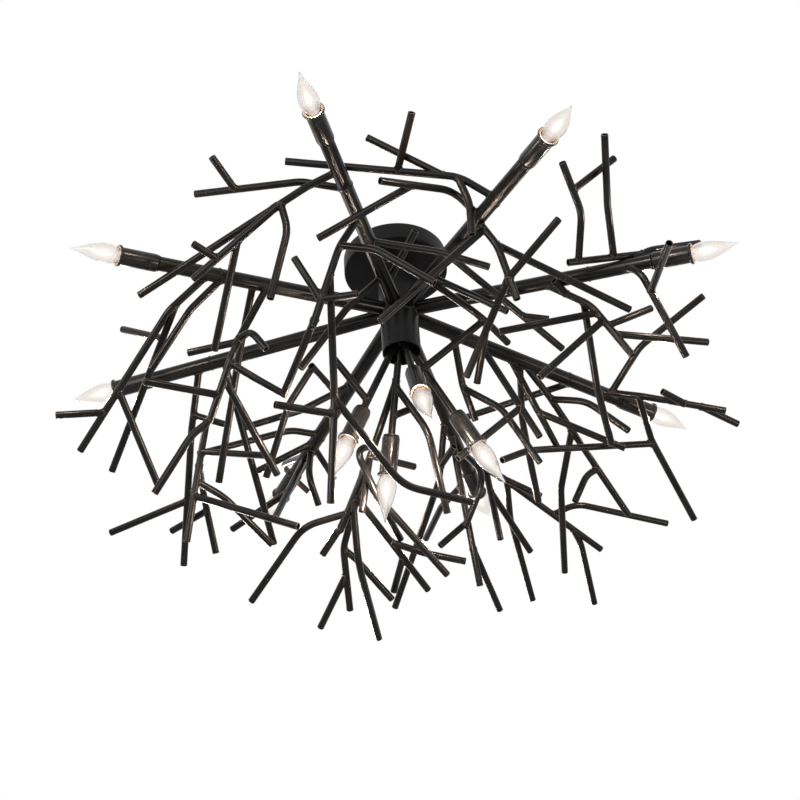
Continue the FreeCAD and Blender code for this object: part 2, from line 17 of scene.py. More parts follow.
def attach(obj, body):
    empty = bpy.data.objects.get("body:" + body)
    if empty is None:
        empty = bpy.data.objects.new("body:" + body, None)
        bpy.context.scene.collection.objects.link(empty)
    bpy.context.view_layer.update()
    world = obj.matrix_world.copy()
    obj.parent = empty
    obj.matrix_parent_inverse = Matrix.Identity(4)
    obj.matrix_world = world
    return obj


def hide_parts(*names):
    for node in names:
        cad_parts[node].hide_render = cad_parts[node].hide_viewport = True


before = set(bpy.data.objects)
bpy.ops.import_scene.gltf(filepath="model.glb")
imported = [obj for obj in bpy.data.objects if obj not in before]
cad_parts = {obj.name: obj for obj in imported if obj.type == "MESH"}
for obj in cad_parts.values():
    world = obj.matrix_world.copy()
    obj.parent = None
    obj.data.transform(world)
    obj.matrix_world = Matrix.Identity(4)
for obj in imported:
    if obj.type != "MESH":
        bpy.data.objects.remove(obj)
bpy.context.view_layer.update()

# %% [markdown]
# ## The camera first
#
# The photograph was taken from below, looking up. Its eight arms, level with each other
# and all alike, are enough to work out where the camera stood and how long its lens was.
# The small roll is real: the picture is tilted by about four degrees.

# %% Camera
TARGET = Vector((0, 0, -0.117))
DISTANCE = 2.485
ELEVATION = math.radians(41.3)
ROLL = math.radians(-4.26)
LENS_MM, SENSOR_MM = 84.16, 36
SHIFT = (0.0005, -0.0966)

look = Vector((0, math.cos(ELEVATION), math.sin(ELEVATION)))
level = Vector((1, 0, 0))
above = level.cross(look)
image_right = level * math.cos(ROLL) + above * math.sin(ROLL)
image_up = above * math.cos(ROLL) - level * math.sin(ROLL)

camera = bpy.data.objects.new("photo_camera", bpy.data.cameras.new("photo_camera"))
bpy.context.scene.collection.objects.link(camera)
bpy.context.scene.camera = camera
camera.matrix_world = Matrix.Translation(TARGET - look * DISTANCE) @ Matrix(
    (image_right, image_up, -look)
).transposed().to_4x4()
camera.data.sensor_width = SENSOR_MM
camera.data.lens = LENS_MM
camera.data.shift_x, camera.data.shift_y = SHIFT
print("camera at", [round(v, 3) for v in camera.location])

# %% [markdown]
# ## Soft light on a pale stage
#
# The background is plain white because the camera, gloss and glass see a white world. The
# light that falls on the object comes from that world at a lower strength and from a few
# small bright panels, so that each round tube gets a long thin highlight.

# %% World
WORLD_SEEN = 1.0
WORLD_LIGHT = 0.5

world = bpy.data.worlds.new("white_room")
bpy.context.scene.world = world
world.use_nodes = True
tree = world.node_tree
tree.nodes.clear()
output = tree.nodes.new("ShaderNodeOutputWorld")
mix = tree.nodes.new("ShaderNodeMixShader")
lit = tree.nodes.new("ShaderNodeBackground")
seen = tree.nodes.new("ShaderNodeBackground")
path = tree.nodes.new("ShaderNodeLightPath")
either = tree.nodes.new("ShaderNodeMath")
any_seen = tree.nodes.new("ShaderNodeMath")
either.operation = any_seen.operation = "MAXIMUM"
lit.inputs["Strength"].default_value = WORLD_LIGHT
seen.inputs["Strength"].default_value = WORLD_SEEN
for shader in (lit, seen):
    shader.inputs["Color"].default_value = (1, 1, 1, 1)
tree.links.new(path.outputs["Is Camera Ray"], either.inputs[0])
tree.links.new(path.outputs["Is Glossy Ray"], either.inputs[1])
tree.links.new(either.outputs[0], any_seen.inputs[0])
tree.links.new(path.outputs["Is Transmission Ray"], any_seen.inputs[1])
tree.links.new(any_seen.outputs[0], mix.inputs[0])
tree.links.new(lit.outputs[0], mix.inputs[1])
tree.links.new(seen.outputs[0], mix.inputs[2])
tree.links.new(mix.outputs[0], output.inputs[0])
bpy.context.scene.view_settings.view_transform = "Standard"
print("world seen at", WORLD_SEEN, "and lighting at", WORLD_LIGHT)

# %% Soft panels
PANELS = (
    # name, where it hangs, side in metres, watts, colour
    ("panel_left", (-1.7, -1.5, -0.5), 0.24, 16, (1.0, 0.91, 0.84)),
    ("panel_right", (1.8, -0.9, -1.4), 0.22, 12, (1.0, 0.88, 0.78)),
    ("panel_behind", (-0.9, 1.9, 0.2), 0.30, 20, (1.0, 0.90, 0.82)),
    ("panel_front", (-0.6, -2.3, -0.5), 1.6, 30, (0.92, 0.96, 1.0)),
)
for name, where, side, watts, colour in PANELS:
    lamp = bpy.data.lights.new(name, "AREA")
    lamp.shape = "SQUARE"
    lamp.size = side
    lamp.energy = watts
    lamp.color = colour
    panel = bpy.data.objects.new(name, lamp)
    bpy.context.scene.collection.objects.link(panel)
    panel.location = where
    panel.rotation_euler = (TARGET - Vector(where)).to_track_quat("-Z", "Y").to_euler()
print("panels:", len(PANELS))

# %% [markdown]
# ## The lines of the piece
#
# Everything is welded onto straight arms and rods, so each of them gets a small frame of
# its own: out along it, sideways and up. The branches are written in those directions, the
# way a welder would be told: weld here, go so far out, sideways and up, bend, and stop.
# The sizes repeat the CAD source, in millimetres.

# %% Sizes
MM = 0.001
EAST, NORTH, UP = Vector((1, 0, 0)), Vector((0, 1, 0)), Vector((0, 0, 1))
HUB_TOP, HUB_MOUTH = 26, 170
HUB_RADIUS, HUB_WALL, HUB_TOP_THICK = 25.4, 2.0, 4.0
NIPPLE_HOLE = 5.05
CANOPY_RADIUS, CANOPY_DEPTH, CANOPY_WALL = 70.0, 26.0, 1.2
ARM_RADIUS, ARM_WALL, ARM_DROP, ARM_REACH = 9.525, 1.2, 97.0, 399.0
ROD_RADIUS, ROD_CIRCLE, ROD_DROP = 4.76, 8.5, 156.0
TWIG_RADIUS, TWIG_WALL, TWIG_BEND = 4.76, 0.9, 60.0
SLEEVE_LENGTH = 55.0
# bearing round the hub and droop below level, in degrees
ARMS = ((-102, 3), (-61, 7), (-17, 6), (30, 7), (76, 4), (119, 5), (170, 6), (210, 7))
# the same, and the length from the boss to the lamp's mouth
RODS = ((-70, 69, 137), (17, 62, 177), (111, 64, 172), (188, 67, 175))


# %% Frames of the arms and rods
def heading(bearing, droop):
    """The direction of a bearing round the hub that falls by the droop, in degrees."""
    turn, fall = math.radians(bearing), math.radians(droop)
    level_run = math.cos(fall)
    return Vector((level_run * math.cos(turn), level_run * math.sin(turn), -math.sin(fall)))


def line_frame(start, bearing, droop, bare, radius):
    """Where an arm or rod starts, its three directions, its bare length and its radius."""
    out, side = heading(bearing, droop), heading(bearing + 90, 0)
    across = {"side": side, "up": out.cross(side)}
    return {"start": start, "out": out, **across, "bare": bare, "radius": radius}


lines = {}
for number, (bearing, droop) in enumerate(ARMS, start=1):
    start, bare = Vector((0, 0, -ARM_DROP)), ARM_REACH - SLEEVE_LENGTH
    lines["arm_%d" % number] = line_frame(start, bearing, droop, bare, ARM_RADIUS)
for number, (bearing, droop, length) in enumerate(RODS, start=1):
    start = heading(bearing, 0) * ROD_CIRCLE
    start.z = -ROD_DROP
    bare = length - SLEEVE_LENGTH
    lines["rod_%d" % number] = line_frame(start, bearing, droop, bare, ROD_RADIUS)
print("arms and rods:", len(lines))

# %% [markdown]
# ## The branch schedule
#
# Each row is one tube: its name, what it is welded to, how far along that in percent, and
# its bends and free end from its own root, as (out, side, up) in millimetres of the arm or
# rod that bears it. No two are alike, so they are listed one by one, as in the CAD source.

# %% Branch schedule
BRANCHES = (
    # on arm_1
    ("a1", "arm_1", 74, ((10, -55, 20), (5, -195, 45))),
    ("a1a", "a1", 73, ((45, -15, 20),)),
    ("a2", "arm_1", 84, ((-10, -45, -5), (-75, -285, -60))),
    ("a2a", "a2", 29, ((-10, -115, -80),)),
    ("a2a1", "a2a", 72, ((30, -20, 5),)),
    ("a2a2", "a2a", 48, ((-100, -65, -80),)),
    ("a2b", "a2", 28, ((-10, 5, -35), (-25, -25, -125))),
    ("a3", "arm_1", 58, ((10, -25, -50), (-10, -70, -150))),
    ("a3a", "a3", 32, ((0, 45, -20), (-15, 110, -80))),
    ("a3b", "a3", 78, ((25, -25, 55),)),
    ("a3c", "a3", 77, ((0, 45, -5),)),
    ("a3d", "a3", 93, ((-75, -65, -45),)),
    ("a3e", "a3", 57, ((-85, -25, -125), (-135, -50, -240))),
    ("a3e1", "a3e", 61, ((50, -60, -5),)),
    ("a3e2", "a3e", 54, ((-75, 60, -95), (-105, 140, -120))),
    ("a4", "arm_1", 44, ((-15, 85, -30), (-30, 145, -60))),
    ("a5", "arm_1", 18, ((55, 55, 30),)),
    ("a7", "arm_1", 23, ((10, -50, -50), (10, -115, -130))),
    # on arm_2
    ("b1", "arm_2", 78, ((-10, -45, 25), (-100, -240, 45))),
    ("b1a", "b1", 20, ((0, 15, -35), (-5, 20, -80))),
    ("b1b", "b1", 27, ((-30, -90, 50),)),
    ("b1c", "b1", 48, ((70, -15, 35),)),
    ("b2", "arm_2", 66, ((15, -45, 15), (25, -150, -15))),
    ("b2a", "b2", 70, ((-100, -80, -40),)),
    ("b3", "arm_2", 64, ((5, 25, -35), (5, 50, -110))),
    ("b3a", "b3", 13, ((-70, -110, -130),)),
    ("b3b", "b3", 74, ((90, 20, 35),)),
    ("b3c", "b3", 34, ((-5, 195, -35),)),
    ("b3d", "b3", 73, ((-115, 0, -80),)),
    ("b4", "arm_2", 41, ((-40, 190, -65),)),
    ("b4a", "b4", 65, ((15, 30, -5),)),
    ("b5", "arm_2", 26, ((60, 80, -70),)),
    ("b7", "arm_2", 24, ((10, 75, -45), (-20, 130, -50))),
    ("b8", "b7", 63, ((-55, -75, -75),)),
    ("b9", "b7", 67, ((-60, 15, -55),)),
    # on arm_3
    ("c3", "arm_3", 89, ((25, -10, -20), (65, 55, -120))),
    ("c3a", "c3", 40, ((50, -115, -30),)),
    ("c4", "arm_3", 58, ((60, 15, -40), (105, 45, -110))),
    ("c4a", "c4", 23, ((-10, -25, 5),)),
    ("c4b", "c4", 39, ((-10, 95, -65), (-10, 165, -110))),
    ("c4c", "c4", 54, ((-120, -35, -30),)),
    ("c4d", "c4", 62, ((-80, -20, -90),)),
    ("c4e", "c4", 77, ((105, 75, 20),)),
    ("c5", "c4", 68, ((50, 35, 45),)),
    ("c6", "arm_3", 93, ((15, 10, 30), (80, 50, 60))),
    ("c8", "c6", 24, ((-85, -55, -40),)),
    ("c1", "c8", 86, ((20, -55, 30), (15, -125, 55))),
    ("c1a", "c1", 71, ((50, 20, 60),)),
    ("c2", "c8", 39, ((10, -65, 30), (30, -150, 70))),
    # on arm_4
    ("d1", "arm_4", 90, ((45, -40, -20), (140, -100, -50))),
    ("d1a", "d1", 69, ((-40, -5, 0),)),
    ("d1b", "d1", 81, ((60, 0, -5),)),
    ("d1c", "d1", 33, ((45, 40, -30), (155, 105, -80))),
    ("d1d", "d1c", 36, ((-170, 50, -50), (-210, 50, -85))),
    ("d2", "d1", 11, ((0, -75, 25), (35, -180, 50))),
    ("d3", "arm_4", 79, ((-90, 145, 5),)),
    ("d6", "arm_4", 55, ((55, 20, -25), (160, 70, -70), (230, 100, -105))),
    ("d4", "d6", 25, ((35, -35, -15), (85, -60, -65))),
    ("d6a", "d6", 70, ((-15, 5, -15), (-25, 20, -55))),
    ("d6b", "d6", 45, ((30, 80, -35), (95, 180, -90))),
    ("d7", "arm_4", 24, ((40, 45, -40), (75, 70, -70))),
    ("d7a", "d7", 62, ((45, -25, -35), (105, -25, -105))),
    ("d8", "arm_4", 49, ((55, 25, -45), (105, 50, -80))),
    ("d8a", "d8", 62, ((115, -35, -40),)),
    ("d9", "arm_4", 36, ((85, -15, -140),)),
    ("d10", "d9", 69, ((-70, 40, -90),)),
    ("d11", "arm_4", 54, ((50, 80, -25), (120, 155, -90))),
    # on arm_5
    ("e1", "arm_5", 74, ((40, 0, -75), (110, 0, -195))),
    ("e1a", "e1", 59, ((-10, 40, -40),)),
    ("e1b", "e1", 76, ((100, -10, -40),)),
    ("e1c", "e1", 36, ((40, 40, 5), (115, 85, 15))),
    ("e2", "arm_5", 65, ((65, 30, -55), (195, 140, -160))),
    ("e2a", "e2", 24, ((-35, -30, 0),)),
    ("e3", "arm_5", 85, ((-30, -45, -85), (10, 0, -135))),
    ("e6", "arm_5", 90, ((55, -50, -15), (205, -155, -60))),
    ("e4", "e6", 16, ((35, -5, -105),)),
    ("e5", "e4", 32, ((105, -30, -40),)),
    ("e6a", "e6", 30, ((50, 10, -30), (160, 10, -100))),
    ("e6b", "e6", 64, ((5, -35, 15), (90, -155, 10))),
    ("e6c", "e6", 79, ((25, -5, -10), (115, 0, -55))),
    ("e7", "e6", 25, ((15, -55, -40),)),
    # on arm_6
    ("f1", "arm_6", 43, ((45, 60, -30), (85, 130, -50))),
    ("f2", "arm_6", 75, ((0, 45, -5), (40, 170, -55))),
    ("f3", "arm_6", 79, ((60, 70, -30),)),
    ("f4", "arm_6", 84, ((-5, 10, -60), (20, -15, -85))),
    ("f5", "arm_6", 82, ((40, -50, -15),)),
    ("f6", "arm_6", 88, ((100, -5, 65), (115, -55, 40))),
    ("f7", "arm_6", 90, ((-35, 70, -160),)),
    ("f8", "f7", 58, ((95, 45, -5),)),
    ("f9", "f1", 16, ((-50, 60, -15),)),
    ("f10", "f9", 95, ((50, 15, -30), (135, 15, -90))),
    # on rod_3 and rod_4
    ("r1", "rod_3", 36, ((85, 10, 45), (195, 35, 80))),
    ("r1a", "r1", 88, ((20, 50, 30), (115, 90, 115))),
    ("r1b", "r1", 59, ((95, 0, 70), (170, -30, 115))),
    ("r1b1", "r1b", 57, ((10, -20, 5), (55, -80, 20))),
    ("r1b2", "r1b", 75, ((65, 10, 70),)),
    ("r1c", "r1", 94, ((40, 15, 35),)),
    ("r1d", "r1", 79, ((80, -20, 15), (160, -90, 125))),
    ("r1e", "r1", 76, ((100, -135, 70),)),
    ("r1e1", "r1e", 49, ((10, -45, -10), (15, -100, -20))),
    ("r1e2", "r1e", 65, ((40, -5, 45),)),
    ("r1f", "r1", 51, ((75, 5, -5),)),
    ("r1g", "r1", 43, ((15, 30, -20), (70, -10, -5))),
    ("r2", "rod_3", 78, ((-15, -25, 5),)),
    ("r3", "r1", 50, ((0, -70, 25),)),
    ("r4", "r1g", 86, ((50, -65, 70),)),
    ("r5", "r1g", 98, ((85, -115, 30),)),
    ("q1", "rod_3", 44, ((60, -40, -30), (160, -80, -15))),
    ("s1", "rod_4", 86, ((-35, 15, 60),)),
    # on arm_7
    ("g1", "arm_7", 81, ((35, -60, -55), (100, -200, -165))),
    ("g1a", "g1", 67, ((120, -30, 5),)),
    ("g1b", "g1", 24, ((-45, -5, -30),)),
    ("g2", "g1b", 39, ((30, -30, -70), (60, -60, -145))),
    ("g2a", "g2", 51, ((-25, -40, -5), (-70, -100, -60))),
    ("g3", "g2", 38, ((15, -70, 5), (20, -125, -55))),
    ("g3a", "g3", 61, ((60, -30, 5),)),
    ("g4", "arm_7", 71, ((5, -100, -70), (10, -220, -155))),
    ("g5", "g2", 63, ((-135, 15, -105),)),
    ("g6", "g2", 27, ((-95, 35, -65),)),
    # on arm_8
    ("h1", "arm_8", 80, ((35, -55, -25), (95, -235, -130))),
    ("h1a", "h1", 20, ((5, -235, -100),)),
    ("h1a1", "h1a", 20, ((25, -65, 60),)),
    ("h1b", "h1", 67, ((-80, -80, -85),)),
    ("h1c", "h1", 79, ((60, -15, -5),)),
    ("h2", "arm_8", 74, ((30, -45, -25), (60, -115, -75))),
    ("h3", "arm_8", 56, ((50, -15, -95), (65, -85, -170))),
    ("h3a", "h3", 83, ((95, -10, 10),)),
    ("h3b", "h3", 47, ((-5, 25, -5), (-20, 30, -35))),
    ("h3c", "h3", 49, ((45, -50, 10),)),
    ("h3e", "h3", 73, ((-100, -80, -75),)),
    ("h3f", "h3", 63, ((-35, 10, -30), (-65, 15, -50))),
    ("h3g", "h3", 99, ((20, -15, -15), (55, -65, -75))),
    ("h3h", "arm_8", 62, ((-5, -70, -55), (-20, -205, -170))),
)
print("branches:", len(BRANCHES))

# %% [markdown]
# ## A hollow tube, bent like the real one
#
# The real branches are thin-walled tubes. A bending die leaves a smooth arc, never a
# mitre, and the free end is sawn square, so one looks into a bore with a bright thin rim;
# the bore is darkened with painted shade. A curve object with a bevel would be a solid
# bar, so the tube is skinned ring by ring: outside, over the rim, and back down the inside.


# %% Bending and skinning
# an arc takes up to this share of each straight beside it, in steps of so many degrees
ARC_SHARE, ARC_STEP, ARC_LEAST_STEPS = 0.48, 6, 3
TWIG_SIDES = 16
RIM_EASE = 0.3
# which of a tube's finishes a face has
COAT, RIM, BORE, BEAD = range(4)


def bent(points, bend):
    """The points with each corner replaced by an arc of up to the given bend radius."""
    result = [points[0]]
    for before, corner, after in zip(points, points[1:], points[2:]):
        back, ahead = before - corner, after - corner
        turn = math.pi - back.angle(ahead)
        reach = min(bend * math.tan(turn / 2), ARC_SHARE * back.length, ARC_SHARE * ahead.length)
        first, last = corner + back.normalized() * reach, corner + ahead.normalized() * reach
        steps = max(ARC_LEAST_STEPS, round(math.degrees(turn) / ARC_STEP))
        for i in range(steps + 1):
            s = i / steps
            result.append(first * (1 - s) ** 2 + corner * (2 * s * (1 - s)) + last * s**2)
    result.append(points[-1])
    return result


def rings_along(path):
    """Each point of a path with two directions across it that don't twist along the way."""
    tangent = (path[1] - path[0]).normalized()
    across = tangent.orthogonal().normalized()
    result = []
    for i, point in enumerate(path):
        before = path[max(i - 1, 0)]
        after = path[min(i + 1, len(path) - 1)]
        new = (after - before).normalized()
        across = (across - new * across.dot(new)).normalized()
        result.append((point, new, across, new.cross(across)))
    return result


class Skin:
    """Collects rings of vertices and joins them into one mesh with several materials."""

    def __init__(self):
        self.verts, self.faces, self.slots = [], [], []

    def ring(self, centre, across, over, radius, sides):
        first = len(self.verts)
        for i in range(sides):
            angle = 2 * math.pi * i / sides
            x, y = radius * math.cos(angle), radius * math.sin(angle)
            self.verts.append((centre + across * x + over * y) * MM)
        return range(first, first + sides)

    def band(self, near, far, slot=0):
        count = len(near)
        for i in range(count):
            j = (i + 1) % count
            self.faces.append((near[i], near[j], far[j], far[i]))
            self.slots.append(slot)

    def bands(self, rings, slot=0):
        for near, far in zip(rings, rings[1:]):
            self.band(near, far, slot)

    def cap(self, ring, slot=0, flip=False):
        self.faces.append(tuple(reversed(ring)) if flip else tuple(ring))
        self.slots.append(slot)

    def bar(self, rings, slot=0):
        """A solid run of rings, closed at both ends."""
        self.bands(rings, slot)
        self.cap(rings[0], slot, flip=True)
        self.cap(rings[-1], slot)

    def build(self, name, materials, sharp=38):
        mesh = bpy.data.meshes.new(name)
        mesh.from_pydata([tuple(v) for v in self.verts], [], self.faces)
        mesh.polygons.foreach_set("material_index", self.slots)
        for material in materials:
            mesh.materials.append(material)
        mesh.shade_smooth()
        mesh.set_sharp_from_angle(angle=math.radians(sharp))
        thing = bpy.data.objects.new(name, mesh)
        bpy.context.scene.collection.objects.link(thing)
        return thing


def add_pipe(skin, path, radius, wall, sides=TWIG_SIDES):
    """A hollow pipe along a path, open at its far end and closed at its root."""
    rings = rings_along(path)
    shave = min(RIM_EASE, wall / 3)
    outer = [skin.ring(c, a, o, radius, sides) for c, t, a, o in rings[:-1]]
    c, t, a, o = rings[-1]
    outer.append(skin.ring(c - t * shave, a, o, radius, sides))
    lip = skin.ring(c, a, o, radius - shave, sides)
    mouth = skin.ring(c, a, o, radius - wall + shave / 2, sides)
    inner = [skin.ring(c - t * shave, a, o, radius - wall, sides)]
    inner += [skin.ring(c, a, o, radius - wall, sides) for c, t, a, o in reversed(rings[:-1])]
    skin.bands(outer, COAT)
    skin.bands([outer[-1], lip, mouth, inner[0]], RIM)
    skin.bands(inner, BORE)
    skin.cap(inner[-1], BORE)
    skin.cap(outer[0], COAT, flip=True)


print("tube of", TWIG_RADIUS * 2, "mm with a", TWIG_WALL, "mm wall, bent round", TWIG_BEND, "mm")

# %% [markdown]
# ## A weld bead where two tubes meet
#
# A branch is coped to the tube that bears it and welded round. The bead follows the line
# where the two round walls cross. For each direction round the branch, the place where its
# wall meets the parent's wall is worked out, and a thin uneven roll is laid through them.

# %% Weld beads
BEAD_RADIUS, ARM_BEAD_RADIUS, HUB_BEAD_RADIUS = 1.25, 1.6, 1.5
BEAD_SIDES = 6
BEAD_UNEVEN = (0.72, 1.3)
# a branch that lies nearly along its bearer still gets a seam of a bounded length
LEAST_SLANT, MOST_RUN = 0.02, 3.2


def saddle(root, axis, parent_radius, out, across, over, radius, steps):
    """The points where a round branch crosses the round wall that it is welded to."""
    points = []
    flat = out - axis * out.dot(axis)
    for i in range(steps):
        angle = 2 * math.pi * i / steps
        wide = across * (radius * math.cos(angle)) + over * (radius * math.sin(angle))
        side = wide - axis * wide.dot(axis)
        a, b, c = flat.dot(flat), side.dot(flat), side.dot(side) - parent_radius**2
        run = (-b + math.sqrt(max(b * b - a * c, 0))) / max(a, LEAST_SLANT)
        points.append(root + wide + out * min(run, MOST_RUN * parent_radius))
    return points


def add_bead(skin, points, radius, chance, slot=BEAD):
    """An uneven roll of weld metal along a closed line of points."""
    count = len(points)
    rings = []
    centre = sum(points, Vector()) / count
    for i, point in enumerate(points):
        tangent = (points[(i + 1) % count] - points[i - 1]).normalized()
        outward = point - centre
        outward = (outward - tangent * outward.dot(tangent)).normalized()
        size = radius * chance.uniform(*BEAD_UNEVEN)
        rings.append(skin.ring(point, outward, tangent.cross(outward), size, BEAD_SIDES))
    for i in range(count):
        skin.band(rings[i], rings[(i + 1) % count], slot)


print("weld bead about", 2 * BEAD_RADIUS, "mm thick")

# %% [markdown]
# ## Finishes
#
# The metal has a satin powder coat that is nearly black, with a warm brown cast where it
# thins. It has cloudy patches and, on some pieces, a fine peel. Both are built once as a
# node group and then placed in each finish with its own values. The tubes and sleeves have
# almost no peel, since more of it bends their highlights.


# %% A group for cloudy colour and fine texture
CLOUD_DETAIL, PEEL_DETAIL = 4.0, 2.0
CLOUD_RANGE = (0.32, 0.68)
PEEL_DEPTH = 0.001


def make_coat_group():
    """Puts out a cloudy mask and a fine height, both from a position in metres."""
    group = bpy.data.node_groups.new("cloud_and_peel", "ShaderNodeTree")
    face = group.interface
    face.new_socket("Vector", in_out="INPUT", socket_type="NodeSocketVector")
    face.new_socket("Cloud Scale", in_out="INPUT", socket_type="NodeSocketFloat")
    face.new_socket("Peel Scale", in_out="INPUT", socket_type="NodeSocketFloat")
    face.new_socket("Cloud", in_out="OUTPUT", socket_type="NodeSocketFloat")
    face.new_socket("Peel", in_out="OUTPUT", socket_type="NodeSocketFloat")
    enter = group.nodes.new("NodeGroupInput")
    leave = group.nodes.new("NodeGroupOutput")
    cloud = group.nodes.new("ShaderNodeTexNoise")
    peel = group.nodes.new("ShaderNodeTexNoise")
    stretch = group.nodes.new("ShaderNodeMapRange")
    cloud.inputs["Detail"].default_value = CLOUD_DETAIL
    peel.inputs["Detail"].default_value = PEEL_DETAIL
    stretch.inputs["From Min"].default_value = CLOUD_RANGE[0]
    stretch.inputs["From Max"].default_value = CLOUD_RANGE[1]
    link = group.links.new
    for noise, scale in ((cloud, "Cloud Scale"), (peel, "Peel Scale")):
        link(enter.outputs["Vector"], noise.inputs["Vector"])
        link(enter.outputs[scale], noise.inputs["Scale"])
    link(cloud.outputs["Fac"], stretch.inputs["Value"])
    link(stretch.outputs["Result"], leave.inputs["Cloud"])
    link(peel.outputs["Fac"], leave.inputs["Peel"])
    return group


coat_group = make_coat_group()
print("node group:", coat_group.name)


# %% Making a finish from it
def finish(
    name, dark, light, rough, metallic,
    clouds=22, peel=900, bump=0.08, specular=0.5, sheen=(1, 1, 1),
):
    """A finish that clouds between two colours, with matching roughness and a fine bump."""
    material = bpy.data.materials.new(name)
    material.use_nodes = True
    nodes, link = material.node_tree.nodes, material.node_tree.links.new
    shader = nodes["Principled BSDF"]
    where = nodes.new("ShaderNodeTexCoord")
    group = nodes.new("ShaderNodeGroup")
    group.node_tree = coat_group
    group.inputs["Cloud Scale"].default_value = clouds
    group.inputs["Peel Scale"].default_value = peel
    link(where.outputs["Object"], group.inputs["Vector"])
    colours = nodes.new("ShaderNodeMix")
    colours.data_type = "RGBA"
    colours.inputs["A"].default_value = (*dark, 1)
    colours.inputs["B"].default_value = (*light, 1)
    link(group.outputs["Cloud"], colours.inputs["Factor"])
    link(colours.outputs["Result"], shader.inputs["Base Color"])
    roughness = nodes.new("ShaderNodeMapRange")
    roughness.inputs["To Min"].default_value = rough[0]
    roughness.inputs["To Max"].default_value = rough[1]
    link(group.outputs["Cloud"], roughness.inputs["Value"])
    link(roughness.outputs["Result"], shader.inputs["Roughness"])
    relief = nodes.new("ShaderNodeBump")
    relief.inputs["Strength"].default_value = bump
    relief.inputs["Distance"].default_value = PEEL_DEPTH
    link(group.outputs["Peel"], relief.inputs["Height"])
    link(relief.outputs["Normal"], shader.inputs["Normal"])
    shader.inputs["Metallic"].default_value = metallic
    shader.inputs["Specular IOR Level"].default_value = specular
    shader.inputs["Specular Tint"].default_value = (*sheen, 1)
    return material


BRONZE = (1.0, 0.95, 0.91)
coat = finish(
    "bronze_black_coat", (0.002, 0.002, 0.002), (0.007, 0.0065, 0.006), (0.22, 0.28), 0.0,
    bump=0.001, specular=0.18, sheen=BRONZE,
)
cut_rim = finish(
    "sawn_rim", (0.03, 0.026, 0.023), (0.09, 0.075, 0.062), (0.30, 0.45), 0.3,
    clouds=60, specular=0.2, sheen=BRONZE,
)
# painted shade: bores, the hub's inside and the shells below their lips are darker and duller
# than the coat, standing in for the shade that falls in them
painted_shade_bore = finish(
    "tube_bore_painted_shade", (0.002, 0.002, 0.002), (0.005, 0.004, 0.004), (0.6, 0.8), 0.0, specular=0.05
)
weld = finish(
    "weld_bead", (0.010, 0.009, 0.008), (0.03, 0.025, 0.021), (0.25, 0.42), 0.0,
    clouds=160, peel=1400, bump=0.35, specular=0.2, sheen=BRONZE,
)
sleeve_coat = finish(
    "sleeve_coat", (0.004, 0.004, 0.004), (0.012, 0.0115, 0.011), (0.18, 0.28), 0.0,
    clouds=40, peel=700, bump=0.002, specular=0.25, sheen=BRONZE,
)
canopy_coat = finish(
    "canopy_coat", (0.006, 0.006, 0.006), (0.010, 0.009, 0.009), (0.42, 0.55), 0.0,
    clouds=14, peel=800, bump=0.1, specular=0.1,
)
hub_coat = finish(
    "hub_coat", (0.006, 0.006, 0.006), (0.010, 0.010, 0.010), (0.36, 0.46), 0.0,
    clouds=30, peel=800, bump=0.05, specular=0.16,
)
zinc = finish(
    "zinc_plate", (0.45, 0.46, 0.47), (0.62, 0.62, 0.60), (0.3, 0.45), 1.0,
    clouds=90, peel=600, bump=0.1,
)
earth_green = finish(
    "earth_green", (0.02, 0.16, 0.05), (0.03, 0.24, 0.08), (0.3, 0.4), 0.3, clouds=120
)
brass = finish(
    "bright_brass", (0.62, 0.42, 0.17), (0.80, 0.58, 0.28), (0.18, 0.32), 1.0,
    clouds=120, peel=700, bump=0.1,
)
copper = finish(
    "warm_shell", (0.09, 0.045, 0.018), (0.15, 0.08, 0.035), (0.36, 0.46), 1.0,
    clouds=120, peel=700, bump=0.02,
)
warm_lip = finish(
    "warm_lip", (0.006, 0.004, 0.003), (0.014, 0.009, 0.006), (0.4, 0.5), 0.0,
    clouds=120, peel=700, bump=0.02, specular=0.12, sheen=BRONZE,
)
socket_body = finish(
    "socket_body", (0.55, 0.50, 0.42), (0.70, 0.65, 0.56), (0.5, 0.65), 0.0, clouds=80
)
print("finishes:", len(bpy.data.materials))

# %% [markdown]
# ## Lit glass
#
# A clear candle bulb that is on reads as a pale, milky flame with a white heart: the
# filament is far too bright for the eye, and its glare fills the glass. So the bulb is
# clear glass with painted grey shade at its edges, and inside it stand a few thin shells
# of glare, one in the other, that get whiter and denser towards the filament. Seen from
# any side the line of sight crosses more of them at the heart than at the edge. A small
# lamp in each bulb lights the tubes round it, and the glass lets its light out.


# %% Clear glass with painted grey shade at its edges
THIN_GLASS_IOR = 1.30
PAINTED_EDGE_SHADE_BLEND = 0.35


